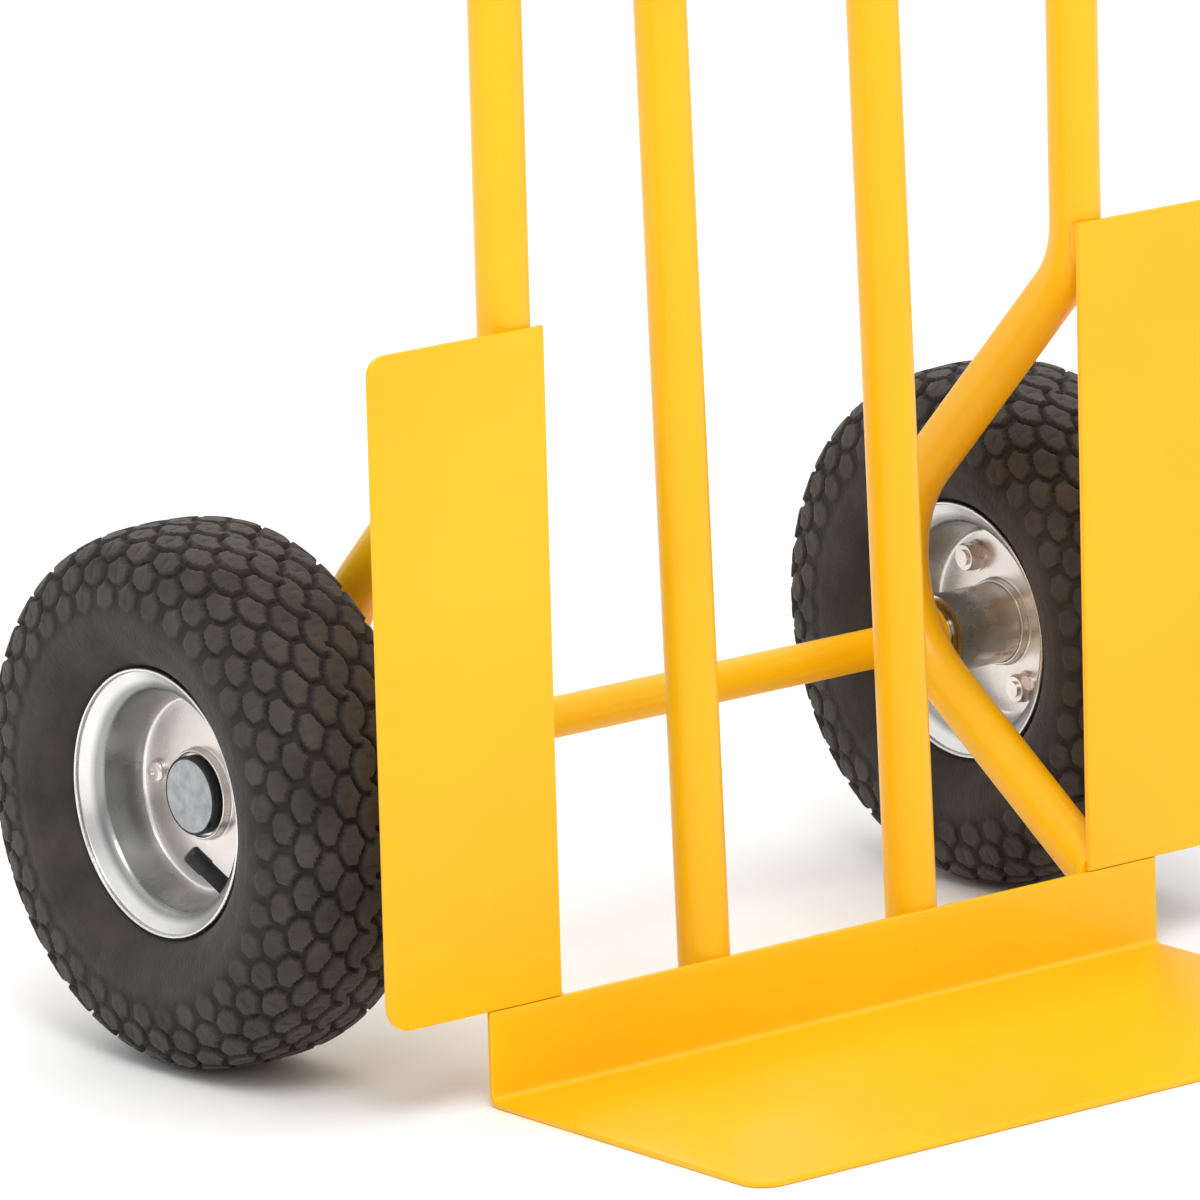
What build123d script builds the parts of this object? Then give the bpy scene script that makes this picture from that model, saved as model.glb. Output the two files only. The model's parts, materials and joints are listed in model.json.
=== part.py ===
from build123d import *

import math
import os

# Hand truck, millimetres.  X runs across the truck, +Y to the rear, +Z up.
# Origin: on the floor, in the middle of the truck's footprint.
# Heights and depths below are worked out from the load plane (the front face of the toe
# plate's flange, Y = 0) and the floor (Z = 0); export() moves the whole truck back so that
# the origin lies in the middle of the footprint.

# ---------------------------------------------------------------- sheet metal
SHEET = 3.0                # toe plate and wheel guards
TOE_WIDTH = 411.0
TOE_DEPTH = 194.5          # flange front face to toe lip
FLANGE_HEIGHT = 45.7
FOLD_RADIUS = 3.0          # inside radius of the fold between toe and flange
TOE_CORNER = 14.0
GUARD_INNER_X = 163.0
GUARD_OUTER_X = 265.0
GUARD_TOP = 365.0
GUARD_TOP_CORNER = 9.0
GUARD_BOTTOM_CORNER = 13.0
SEAM = 0.4                 # open butt seam between guard and flange

# ---------------------------------------------------------------- frame tubes
TUBE_OD = 25.0
TUBE_WALL = 2.0
BAR_OD = 20.0              # straight cross bar
BAR_WALL = 1.5
WELD_GAP = 0.2             # root gap at every weld
WELD_LEG = 3.0             # width of a weld bead
SIDE_TUBE_X = 174.3
INNER_TUBE_X = 64.0
INNER_TUBE_LEAN = 0.033    # rearward lean of the inner uprights, mm per mm of height
INNER_TUBE_FOOT = 8.0      # height of the inner uprights' open lower ends
KNEE_BACK = 186.0          # corner of the rear knee, before its bend is put in
KNEE_HEIGHT = 166.0
KNEE_RADIUS = 70.0
UPPER_LEG_ANGLE = 44.0     # from the vertical
LOWER_LEG_ANGLE = 55.0
HIP_RADIUS = 50.0          # bend where the upright turns down to the knee
HANDLE_HEIGHT = 1100.0
TOP_BAR_DROP = 170.0       # bowed cross bar below the handles
HANDLE_RADIUS = 70.0
HANDLE_STRAIGHT = 140.0    # level stretch behind the handle bend

# ---------------------------------------------------------------- grips and plugs
GRIP_LENGTH = 125.0
GRIP_WALL = 3.5
GRIP_END = 4.0
GRIP_GAP = 0.05
GRIP_COLLAR = 5.0          # width of the raised ring at the front of a grip
PLUG_LENGTH = 14.0
PLUG_HEAD = 3.0
PLUG_GAP = 0.1
PLUG_SHOW = 0.02           # plug head inside the tube's outer radius

# ---------------------------------------------------------------- axle
AXLE_OD = 20.0
COLLAR_WALL = 8.0
COLLAR_TO_HUB = 4.5        # dark ring between the collar and the hub's end
COLLAR_TUBE_GAP = 0.7
SPACER_LENGTH = 4.0        # ring between the collar and the inboard bearing
CLIP_THICK = 1.2
CLIP_DEPTH = 0.6           # depth of the axle's groove
CLIP_HEIGHT = 2.2          # how far the clip stands out of the axle
WASHER_THICK = 1.5
AXLE_END = 2.0             # axle past the clip
FIT = 0.02                 # clearance of parts slid onto the axle or into the hub

# ---------------------------------------------------------------- wheels
TYRE_OD = 260.0
TYRE_WIDTH = 85.0
TREAD_THICK = 9.0          # casing at the crown
SIDE_THICK = 7.0           # casing where it is widest
BEAD_THICK = 8.0           # casing beside the rim's flange
BEAD_HEEL = 2.0            # bead's heel inboard of the rim's seat corner
BEAD_TOE = 7.0             # length of the bead along the well
WHEEL_X = 247.0            # middle plane of the wheel
RIM_SHEET = 1.6
RIM_HALF_WIDTH = 30.0      # middle plane to the edge of a flange
RIM_OD = 129.0
RIM_SEAT_R = 53.8          # sheet centre line where the bead seat meets the flange
RIM_SEAT_DEPTH = 22.0
RIM_WELL_R = 47.3          # sheet centre line where the well meets the disc
FLANGE_LIP = 2.0           # straight lip at the edge of a flange
HUB_WALL = 2.5             # around a bearing
HUB_INBOARD = 44.5         # wheel's middle plane to the hub's inner end
HUB_OUTBOARD = 4.0
HUB_SHOULDER = 2.0         # height of the shoulder that a bearing seats against
NECK_OUT = 4.0             # drawn neck of each rim half, along the hub
BOLT_COUNT = 2
BOLT_CIRCLE_R = 35.5
BOLT_OD = 8.0
BOLT_HOLE_GAP = 0.25
BOLT_HEAD_OD = 12.0
BOLT_HEAD = 3.6
BOLT_TAIL = 1.5            # thread past the nut
NUT_AF = 13.0
NUT_THICK = 6.5
BOLT_WASHER_OD = 16.0
BOLT_WASHER = 1.6
RIGHT_PHASE = 59.0         # angle of the first rim bolt, from the rear, in degrees
LEFT_PHASE = 7.5
BEAD_GAP = 0.15            # tyre bead to rim
TUBE_SKIN = 1.8            # wall of the inner tube
TUBE_GAP = 0.4             # inner tube to tyre and rim
VALVE_OD = 8.2
VALVE_CAP_OD = 9.2
VALVE_CAP_LENGTH = 11.0
VALVE_LENGTH = 27.0        # rim to tip
VALVE_LEAN = 31.0          # outboard lean from the radial direction
VALVE_FROM_BOLT = 130.0    # angle from the first bolt
VALVE_HOLE_GAP = 0.3

# ---------------------------------------------------------------- bearings
BEARING_OD = 35.0
BEARING_WIDTH = 11.0
BEARING_RECESS = 0.5       # race face behind the hub's end
RACE_SHARE = 0.72          # ball radius to the shoulder of a race
CAGE_WALL_SHARE = 0.28     # ball radius to half the cage's wall
CAGE_WIDTH_SHARE = 1.4     # ball radius to half the cage's width
SHIELD_INSET = 0.2         # shield behind the race's face
BALL_COUNT = 9
BALL_SHARE = 0.56          # ball diameter over the height of the race gap
BALL_GAP = 0.04            # ball to groove
SHIELD_THICK = 0.8
SHIELD_GAP = 0.3           # shield lip to inner race
CAGE_GAP = 0.03

# ---------------------------------------------------------------- hub cap
CAP_STEP = 1.2             # cap inside the hub's outer radius
CAP_WALL = 2.2
CAP_CLEAR = 0.1            # end of the axle to the inside of the cap
CAP_FACE = 0.8             # thickness of the metal face disc
CAP_RIM = 1.2              # black rim round the face disc
CAP_EDGE = 0.5             # bevel of the cap's rim
FACE_EDGE = 0.2            # bevel of the face disc
CAP_NOTCH = 3.0
NOTCH_FROM_VALVE = 20.0

# ---------------------------------------------------------------- worked-out places
TUBE_R = TUBE_OD / 2
AXLE_R = AXLE_OD / 2
COLLAR_R = AXLE_R + COLLAR_WALL
TYRE_R = TYRE_OD / 2
RIM_R = RIM_OD / 2
HUB_R = BEARING_OD / 2 + HUB_WALL
HUB_INNER_X = WHEEL_X - HUB_INBOARD
HUB_OUTER_X = WHEEL_X + HUB_OUTBOARD
COLLAR_OUTER_X = HUB_INNER_X - COLLAR_TO_HUB
AXLE_Z = TYRE_R
SIDE_Y = SHEET + WELD_GAP + TUBE_R
TOP_BAR_HEIGHT = HANDLE_HEIGHT - TOP_BAR_DROP
COS_LEAN = math.cos(math.atan(INNER_TUBE_LEAN))


def knee_centre():
    """Centre of the knee bend, (y, z), in the side tube's plane."""
    up = Vector(-math.sin(math.radians(UPPER_LEG_ANGLE)), math.cos(math.radians(UPPER_LEG_ANGLE)))
    down = Vector(-math.sin(math.radians(LOWER_LEG_ANGLE)), -math.cos(math.radians(LOWER_LEG_ANGLE)))
    half = math.radians(180 - UPPER_LEG_ANGLE - LOWER_LEG_ANGLE) / 2
    centre = Vector(KNEE_BACK, KNEE_HEIGHT) + (up + down).normalized() * (KNEE_RADIUS / math.sin(half))
    return centre.X, centre.Y


# The axle lies against the outside of the knee bend, at the height of the wheel centre.
KNEE_Y, KNEE_Z = knee_centre()
AXLE_REACH = KNEE_RADIUS + TUBE_R + WELD_GAP + AXLE_R
AXLE_Y = KNEE_Y + math.sqrt(AXLE_REACH**2 - (KNEE_Z - AXLE_Z) ** 2)

# Side tube corners, (y, z), before the bends are put in.
HIP_Z = KNEE_HEIGHT + (KNEE_BACK - SIDE_Y) / math.tan(math.radians(UPPER_LEG_ANGLE))
FOOT_Y = -TUBE_OD
FOOT_Z = KNEE_HEIGHT - (KNEE_BACK - FOOT_Y) / math.tan(math.radians(LOWER_LEG_ANGLE))
HANDLE_END_Y = SIDE_Y + HANDLE_RADIUS + HANDLE_STRAIGHT
TRUCK_MID_Y = (max(AXLE_Y + TYRE_R, HANDLE_END_Y + GRIP_END) - TOE_DEPTH) / 2

# The straight bar sits where the leaning uprights pass one bar's depth behind the load plane.
BAR_OFFSET = (TUBE_R + WELD_GAP + BAR_OD / 2) / COS_LEAN
BAR_HEIGHT = INNER_TUBE_FOOT + BAR_OFFSET / INNER_TUBE_LEAN


def upright_y(height):
    """Depth of an inner upright's centre line at a height."""
    return SIDE_Y + INNER_TUBE_LEAN * (height - INNER_TUBE_FOOT)


def export(name, *solids):
    """Moves the solids into the truck's own frame and writes them as one node."""
    moved = [Pos(0, -TRUCK_MID_Y, 0) * solid for solid in solids]
    export_step(Compound(children=moved) if len(moved) > 1 else moved[0], f"parts/{name}.step")


def mirrored(solid):
    return mirror(solid, Plane.YZ)


def swept(path, radius):
    return sweep(Plane(path @ 0, z_dir=path % 0) * Circle(radius), path=path)


def piped(path, outer_r, wall):
    return swept(path, outer_r) - swept(path, outer_r - wall)


def rod(start, end, radius):
    """A solid round bar between two points."""
    line = Vector(*end) - Vector(*start)
    return Plane(Vector(*start), z_dir=line) * Cylinder(
        radius, line.length, align=(Align.CENTER, Align.CENTER, Align.MIN)
    )


def block(low, high):
    """A box between two corners."""
    size = Vector(*high) - Vector(*low)
    return Pos(*low) * Box(size.X, size.Y, size.Z, align=(Align.MIN, Align.MIN, Align.MIN))


def turned(*points):
    """A solid turned about the wheel axis from an outline of (radius, axial place) points."""
    outline = make_face(Polyline(*[(r, 0, a) for r, a in points], close=True))
    return revolve(outline, Axis.Z)


# ---------------------------------------------------------------- sheet metal parts
def toe_plate():
    outline = Polyline(
        (0, 0, FLANGE_HEIGHT),
        (0, SHEET, FLANGE_HEIGHT),
        (0, SHEET, 0),
        (0, -TOE_DEPTH, 0),
        (0, -TOE_DEPTH, SHEET),
        (0, 0, SHEET),
        close=True,
    )
    plate = Pos(-TOE_WIDTH / 2, 0, 0) * extrude(make_face(outline), TOE_WIDTH, dir=(1, 0, 0))
    outside = plate.edges().filter_by(Axis.X).group_by(Axis.Y)[-1].sort_by(Axis.Z)[0]
    plate = fillet(outside, FOLD_RADIUS + SHEET)
    inside = plate.edges().filter_by(Axis.X).filter_by(lambda edge: edge.center().Y == 0)
    plate = fillet(inside.sort_by(Axis.Z)[0], FOLD_RADIUS)
    corners = plate.edges().filter_by(Axis.Z).group_by(Axis.Y)[0]
    return fillet(corners, TOE_CORNER)


def guard_plate():
    plate = block((GUARD_INNER_X, 0, FLANGE_HEIGHT + SEAM), (GUARD_OUTER_X, SHEET, GUARD_TOP))
    outer = plate.edges().filter_by(Axis.Y).group_by(Axis.X)[-1].sort_by(Axis.Z)
    plate = fillet(outer[0], GUARD_BOTTOM_CORNER)
    outer = plate.edges().filter_by(Axis.Y).sort_by(Axis.Z)
    return fillet(outer.group_by(Axis.Z)[-1].sort_by(Axis.X)[-1], GUARD_TOP_CORNER)


# ---------------------------------------------------------------- tubes
def side_path():
    """Centre line of a side tube from its foot, round the knee, up and back to the handle."""
    corners = [
        (SIDE_TUBE_X, FOOT_Y, FOOT_Z),
        (SIDE_TUBE_X, KNEE_BACK, KNEE_HEIGHT),
        (SIDE_TUBE_X, SIDE_Y, HIP_Z),
        (SIDE_TUBE_X, SIDE_Y, HANDLE_HEIGHT),
        (SIDE_TUBE_X, HANDLE_END_Y, HANDLE_HEIGHT),
    ]
    return FilletPolyline(*corners, radius=[KNEE_RADIUS, HIP_RADIUS, HANDLE_RADIUS])


def behind_sheet():
    """Everything in front of the sheet's rear face, used to cut tube feet flush with it."""
    return block((-TOE_WIDTH, -TOE_DEPTH, -TOE_WIDTH), (TOE_WIDTH, SHEET + WELD_GAP, TOE_WIDTH))


def side_tube():
    return piped(side_path(), TUBE_R, TUBE_WALL) - behind_sheet()


def side_rod(sign, extra):
    """The upright stretch of a side tube, thickened."""
    x = sign * SIDE_TUBE_X
    return rod((x, SIDE_Y, HIP_Z + HIP_RADIUS), (x, SIDE_Y, HANDLE_HEIGHT - HANDLE_RADIUS), TUBE_R + extra)


def upright_rod(sign, extra):
    foot = (sign * INNER_TUBE_X, upright_y(INNER_TUBE_FOOT), INNER_TUBE_FOOT)
    head = (sign * INNER_TUBE_X, upright_y(TOP_BAR_HEIGHT), TOP_BAR_HEIGHT)
    return rod(foot, head, TUBE_R + extra)


def top_bar_path():
    """A rearward bow through both side tubes and the heads of the inner uprights."""
    head_y = upright_y(TOP_BAR_HEIGHT)
    middle = (INNER_TUBE_X**2 + head_y**2 - SIDE_TUBE_X**2 - SIDE_Y**2) / (2 * (head_y - SIDE_Y))
    crown = middle + math.hypot(SIDE_TUBE_X, SIDE_Y - middle)
    return ThreePointArc(
        (-SIDE_TUBE_X, SIDE_Y, TOP_BAR_HEIGHT),
        (0, crown, TOP_BAR_HEIGHT),
        (SIDE_TUBE_X, SIDE_Y, TOP_BAR_HEIGHT),
    )


def top_bar():
    return piped(top_bar_path(), TUBE_R, TUBE_WALL) - side_rod(1, WELD_GAP) - side_rod(-1, WELD_GAP)


def straight_bar():
    ends = ((-SIDE_TUBE_X, SIDE_Y, BAR_HEIGHT), (SIDE_TUBE_X, SIDE_Y, BAR_HEIGHT))
    bar = rod(*ends, BAR_OD / 2) - rod(*ends, BAR_OD / 2 - BAR_WALL)
    return bar - side_rod(1, WELD_GAP) - side_rod(-1, WELD_GAP)


def inner_tube_upright():
    tube = upright_rod(1, 0) - upright_rod(1, -TUBE_WALL)
    return tube - swept(top_bar_path(), TUBE_R + WELD_GAP)


def foot_plug():
    """Pressed into the open lower end of an inner upright, its head below the tube."""
    foot = Vector(INNER_TUBE_X, upright_y(INNER_TUBE_FOOT), INNER_TUBE_FOOT)
    place = Plane(foot, z_dir=(0, INNER_TUBE_LEAN, 1))
    stem = Cylinder(TUBE_R - TUBE_WALL - PLUG_GAP, PLUG_LENGTH, align=(Align.CENTER, Align.CENTER, Align.MIN))
    head = Cylinder(TUBE_R - PLUG_SHOW, PLUG_HEAD, align=(Align.CENTER, Align.CENTER, Align.MAX))
    return place * (stem + head)


def grip():
    """A closed plastic sleeve over the end of a handle, with a raised ring at its front."""
    front = (SIDE_TUBE_X, HANDLE_END_Y - GRIP_LENGTH, HANDLE_HEIGHT)
    ring_end = (SIDE_TUBE_X, HANDLE_END_Y - GRIP_LENGTH + GRIP_COLLAR, HANDLE_HEIGHT)
    rear = (SIDE_TUBE_X, HANDLE_END_Y + GRIP_END, HANDLE_HEIGHT)
    outer_r = TUBE_R + GRIP_WALL
    sleeve = rod(front, rear, outer_r)
    sleeve = fillet(sleeve.edges().sort_by(Axis.Y)[-1], GRIP_WALL)
    ring = rod(front, ring_end, outer_r + GRIP_WALL / 2)
    ring = fillet(ring.edges(), GRIP_WALL / 4)
    return sleeve + ring - rod(front, (SIDE_TUBE_X, HANDLE_END_Y, HANDLE_HEIGHT), TUBE_R + GRIP_GAP)


# ---------------------------------------------------------------- axle and what slides onto it
CLIP_X = HUB_OUTER_X - BEARING_RECESS + WASHER_THICK
AXLE_HALF = CLIP_X + CLIP_THICK + AXLE_END


def along_axle(start, end, radius):
    """A solid round bar on the axle line, between two places along X."""
    return rod((start, AXLE_Y, AXLE_Z), (end, AXLE_Y, AXLE_Z), radius)


def axle_ring(start, end, outer_r):
    return along_axle(start, end, outer_r) - along_axle(start, end, AXLE_R + FIT)


def axle():
    bar = along_axle(-AXLE_HALF, AXLE_HALF, AXLE_R)
    bar = chamfer(bar.edges().filter_by(GeomType.CIRCLE), AXLE_END / 2)
    groove = along_axle(CLIP_X, CLIP_X + CLIP_THICK, AXLE_OD)
    groove -= along_axle(CLIP_X, CLIP_X + CLIP_THICK, AXLE_R - CLIP_DEPTH)
    return bar - groove - mirrored(groove)


def axle_collar():
    ring = axle_ring(SIDE_TUBE_X + TUBE_R + COLLAR_TUBE_GAP, COLLAR_OUTER_X, COLLAR_R)
    middle_r = (AXLE_R + COLLAR_R) / 2
    rim = ring.edges().filter_by(GeomType.CIRCLE).filter_by(lambda edge: edge.radius > middle_r)
    return chamfer(rim, COLLAR_TUBE_GAP)


def circlip():
    """An open spring ring in the axle's groove."""
    ring = along_axle(CLIP_X, CLIP_X + CLIP_THICK, AXLE_R + CLIP_HEIGHT)
    ring -= along_axle(CLIP_X, CLIP_X + CLIP_THICK, AXLE_R - CLIP_DEPTH + FIT)
    low = (CLIP_X - CLIP_THICK, AXLE_Y - CLIP_HEIGHT, AXLE_Z)
    high = (CLIP_X + 2 * CLIP_THICK, AXLE_Y + CLIP_HEIGHT, AXLE_Z + AXLE_OD)
    return ring - block(low, high)


# ---------------------------------------------------------------- bearings, along the wheel axis
BORE_R = AXLE_R + FIT
RACE_OUTER_R = BEARING_OD / 2
PITCH_R = (BORE_R + RACE_OUTER_R) / 2
BALL_R = BALL_SHARE * (RACE_OUTER_R - BORE_R) / 2
INNER_RACE_R = PITCH_R - RACE_SHARE * BALL_R
OUTER_RACE_R = PITCH_R + RACE_SHARE * BALL_R
BEARINGS = (
    HUB_INNER_X + BEARING_RECESS + BEARING_WIDTH / 2,
    HUB_OUTER_X - BEARING_RECESS - BEARING_WIDTH / 2,
)


def ring(inner_r, outer_r, low, high):
    return turned((inner_r, low), (outer_r, low), (outer_r, high), (inner_r, high))


def race(inner_r, outer_r, middle):
    body = ring(inner_r, outer_r, middle - BEARING_WIDTH / 2, middle + BEARING_WIDTH / 2)
    return body - Pos(0, 0, middle) * Torus(PITCH_R, BALL_R + BALL_GAP)


def balls(middle):
    return [loc * Sphere(BALL_R) for loc in Pos(0, 0, middle) * PolarLocations(PITCH_R, BALL_COUNT)]


def cage(middle):
    """A ring with one drilled pocket for each ball."""
    half_wall = CAGE_WALL_SHARE * BALL_R
    half_width = CAGE_WIDTH_SHARE * BALL_R
    body = ring(PITCH_R - half_wall, PITCH_R + half_wall, middle - half_width, middle + half_width)
    body = Rot(0, 0, 180 / BALL_COUNT) * body
    for loc in Pos(0, 0, middle) * PolarLocations(PITCH_R, BALL_COUNT):
        body -= loc * Rot(0, 90, 0) * Cylinder(BALL_R + CAGE_GAP, 4 * half_wall)
    return body


def shields(middle):
    half = BEARING_WIDTH / 2 - SHIELD_INSET
    lows = (middle - half, middle + half - SHIELD_THICK)
    return [ring(INNER_RACE_R + SHIELD_GAP, OUTER_RACE_R - FIT, low, low + SHIELD_THICK) for low in lows]


# ---------------------------------------------------------------- wheel, along the wheel axis
SHEET_HALF = RIM_SHEET / 2
WELL_SLOPE = (RIM_SEAT_R - RIM_WELL_R) / (RIM_SEAT_DEPTH - SHEET_HALF)
WELL_COS = math.cos(math.atan(WELL_SLOPE))
FLARE_R = RIM_R - SHEET_HALF
FLARE_DEPTH = RIM_HALF_WIDTH - FLANGE_LIP
NECK_R = HUB_R + FIT + SHEET_HALF
SIDEWALL = TYRE_R - RIM_R
HALF_TYRE = TYRE_WIDTH / 2


def rim_half():
    """The outboard rim half, about the middle plane of the wheel."""
    line = FilletPolyline(
        (NECK_R, 0, NECK_OUT + RIM_SHEET),
        (NECK_R, 0, SHEET_HALF),
        (RIM_WELL_R, 0, SHEET_HALF),
        (RIM_SEAT_R, 0, RIM_SEAT_DEPTH),
        (FLARE_R, 0, FLARE_DEPTH),
        (FLARE_R, 0, RIM_HALF_WIDTH),
        radius=[1.8, 2.6, 4.0, 1.6],
    )
    outline = offset(line, amount=SHEET_HALF, side=Side.BOTH)
    half = revolve(make_face(outline), Axis.Z)
    for loc in PolarLocations(BOLT_CIRCLE_R, BOLT_COUNT):
        half -= loc * Cylinder(BOLT_OD / 2 + BOLT_HOLE_GAP, RIM_WELL_R)
    return half


def valve_plane():
    """Origin where the valve leaves the rim, Z along the valve towards its tip."""
    lean = math.radians(VALVE_LEAN)
    angle = math.radians(VALVE_FROM_BOLT)
    depth = VALVE_OD
    base_r = RIM_WELL_R + WELL_SLOPE * (depth - SHEET_HALF)
    towards = (-math.cos(lean) * math.cos(angle), -math.cos(lean) * math.sin(angle), math.sin(lean))
    return Plane((base_r * math.cos(angle), base_r * math.sin(angle), depth), z_dir=towards)


def wall_r(axial):
    """Radius of the rim's tyre-side surface in the well, at a distance from the middle plane."""
    return RIM_WELL_R + WELL_SLOPE * (axial - SHEET_HALF) + SHEET_HALF / WELL_COS


def up_side(share):
    """Radius at a share of the sidewall's height, from the rim's edge to the tread."""
    return RIM_R + share * SIDEWALL


def casing_inside():
    """Half section of the casing's hollow, crown to bead, as (radius, axial place)."""
    crown = TYRE_R - TREAD_THICK
    seat = RIM_SEAT_DEPTH - BEAD_HEEL
    return [
        (crown, 0),
        (crown - 0.015 * SIDEWALL, 0.4 * HALF_TYRE),
        (crown - 0.11 * SIDEWALL, 0.72 * HALF_TYRE),
        (up_side(0.51), HALF_TYRE - SIDE_THICK),
        (up_side(0.21), 0.72 * HALF_TYRE),
        (up_side(0.05), RIM_HALF_WIDTH - BEAD_THICK),
        (wall_r(seat) + BEAD_THICK * 0.6, seat - BEAD_TOE),
    ]


def tyre():
    """The casing, turned from one half section and its mirror image."""
    gap = BEAD_GAP / WELL_COS
    seat = RIM_SEAT_DEPTH - BEAD_HEEL
    lip_gap = SHEET_HALF + 2 * BEAD_GAP
    outside = [
        (TYRE_R, 0),
        (TYRE_R - 0.018 * SIDEWALL, 0.45 * HALF_TYRE),
        (TYRE_R - 0.07 * SIDEWALL, 0.76 * HALF_TYRE),
        (TYRE_R - 0.2 * SIDEWALL, 0.92 * HALF_TYRE),
        (up_side(0.51), HALF_TYRE),
        (up_side(0.18), 0.9 * HALF_TYRE),
        (up_side(0.045), RIM_HALF_WIDTH + 2 * BEAD_GAP),
        (up_side(0.015), FLARE_DEPTH),
        (FLARE_R, FLARE_DEPTH - 2 * lip_gap),
        (wall_r(seat) + BEAD_THICK * 0.3, RIM_SEAT_DEPTH - 2 * lip_gap),
        (wall_r(seat) + gap, seat - 2 * lip_gap),
        (wall_r(seat - BEAD_TOE) + gap, seat - BEAD_TOE),
    ]
    right = outside + casing_inside()[::-1]
    left = [(r, -a) for r, a in reversed(right[1:-1])]
    return turned(*right, *left)


def air_tube():
    """The closed inner tube: a hollow rubber ring that fills the casing down to the rim."""
    right = casing_inside()
    base = (wall_r(RIM_SEAT_DEPTH), 0)
    hollow = [*right, base, *[(r, -a) for r, a in reversed(right[1:])]]
    section = make_face(Polyline(*[(r, 0, a) for r, a in hollow], close=True))
    skin = offset(section, -TUBE_GAP) - offset(section, -TUBE_GAP - TUBE_SKIN)
    return revolve(skin, Axis.Z)


def hub():
    bore_r = RACE_OUTER_R + FIT
    low = HUB_INNER_X + BEARING_RECESS + BEARING_WIDTH
    high = HUB_OUTER_X - BEARING_RECESS - BEARING_WIDTH
    return turned(
        (HUB_R, HUB_INNER_X),
        (HUB_R, HUB_OUTER_X),
        (bore_r, HUB_OUTER_X),
        (bore_r, high),
        (bore_r - HUB_SHOULDER, high),
        (bore_r - HUB_SHOULDER, low),
        (bore_r, low),
        (bore_r, HUB_INNER_X),
    )


def bolt_places(middle):
    return Pos(0, 0, middle) * PolarLocations(BOLT_CIRCLE_R, BOLT_COUNT)


def rim_bolt():
    """Domed head outboard, thread inboard, about the middle plane."""
    upward = Align.CENTER, Align.CENTER, Align.MIN
    length = 2 * RIM_SHEET + BOLT_WASHER + NUT_THICK + BOLT_TAIL
    head = Pos(0, 0, RIM_SHEET) * Cylinder(BOLT_HEAD_OD / 2, BOLT_HEAD, align=upward)
    head = fillet(head.edges().sort_by(Axis.Z)[-1], BOLT_HEAD * 0.6)
    socket = Pos(0, 0, RIM_SHEET + BOLT_HEAD) * Cylinder(BOLT_OD * 0.3, BOLT_HEAD * 0.5)
    shank = Pos(0, 0, RIM_SHEET - length) * Cylinder(BOLT_OD / 2, length, align=upward)
    return head - socket + shank


def rim_washer():
    disc = Cylinder(BOLT_WASHER_OD / 2, BOLT_WASHER, align=(Align.CENTER, Align.CENTER, Align.MAX))
    hole = Cylinder(BOLT_OD / 2 + BOLT_HOLE_GAP, 4 * BOLT_WASHER)
    return Pos(0, 0, -RIM_SHEET) * (disc - hole)


def rim_nut():
    """A hexagon with its corners rounded towards both faces."""
    flat_r = NUT_AF / 2
    body = extrude(RegularPolygon(flat_r, 6, major_radius=False), -NUT_THICK)
    barrel = turned(
        (0, 0),
        (flat_r * 1.09, 0),
        (flat_r * 1.2, -NUT_THICK / 2),
        (flat_r * 0.97, -NUT_THICK),
        (0, -NUT_THICK),
    )
    bore = Cylinder(BOLT_OD / 2 + FIT, 4 * NUT_THICK)
    return Pos(0, 0, -RIM_SHEET - BOLT_WASHER) * ((body & barrel) - bore)


def valve_parts():
    """Rubber stem through the rim and the screw cap on its end."""
    place = valve_plane()
    root = -VALVE_OD * 0.42
    start = Align.CENTER, Align.CENTER, Align.MIN
    stem_end = VALVE_LENGTH - VALVE_CAP_LENGTH
    stem = Pos(0, 0, root) * Cylinder(VALVE_OD / 2, stem_end - root, align=start)
    pin_r = VALVE_OD * 0.3
    stem += Pos(0, 0, stem_end) * Cylinder(pin_r, VALVE_CAP_LENGTH * 0.7, align=start)
    cap = Pos(0, 0, stem_end + FIT) * Cylinder(VALVE_CAP_OD / 2, VALVE_CAP_LENGTH - FIT, align=start)
    cap = fillet(cap.edges().sort_by(Axis.Z)[-1], VALVE_CAP_OD * 0.2)
    cap -= Pos(0, 0, stem_end) * Cylinder(pin_r + FIT, VALVE_CAP_LENGTH * 0.7 + FIT, align=start)
    return place * stem, place * cap


def valve_hole():
    return valve_plane() * Cylinder(VALVE_OD / 2 + VALVE_HOLE_GAP, VALVE_LENGTH)


def cap_parts():
    """Black cup over the hub's end and the metal disc set in its face."""
    outer_r = HUB_R - CAP_STEP
    inner_r = outer_r - CAP_WALL
    face_r = outer_r - CAP_RIM
    floor = AXLE_HALF + CAP_CLEAR
    top = floor + CAP_WALL
    face_low = top - CAP_FACE
    cup = turned(
        (inner_r, HUB_OUTER_X),
        (outer_r, HUB_OUTER_X),
        (outer_r, top - CAP_EDGE),
        (outer_r - CAP_EDGE, top),
        (face_r + FIT, top),
        (face_r + FIT, face_low - FIT),
        (0, face_low - FIT),
        (0, floor),
        (inner_r, floor),
    )
    face = turned(
        (0, face_low),
        (face_r, face_low),
        (face_r, top - FACE_EDGE),
        (face_r - FACE_EDGE, top),
        (0, top),
    )
    notch = Pos(outer_r, 0, top) * Box(CAP_NOTCH, CAP_NOTCH, CAP_NOTCH)
    notch = Rot(0, 0, VALVE_FROM_BOLT + NOTCH_FROM_VALVE) * notch
    return cup - notch, face - notch


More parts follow.
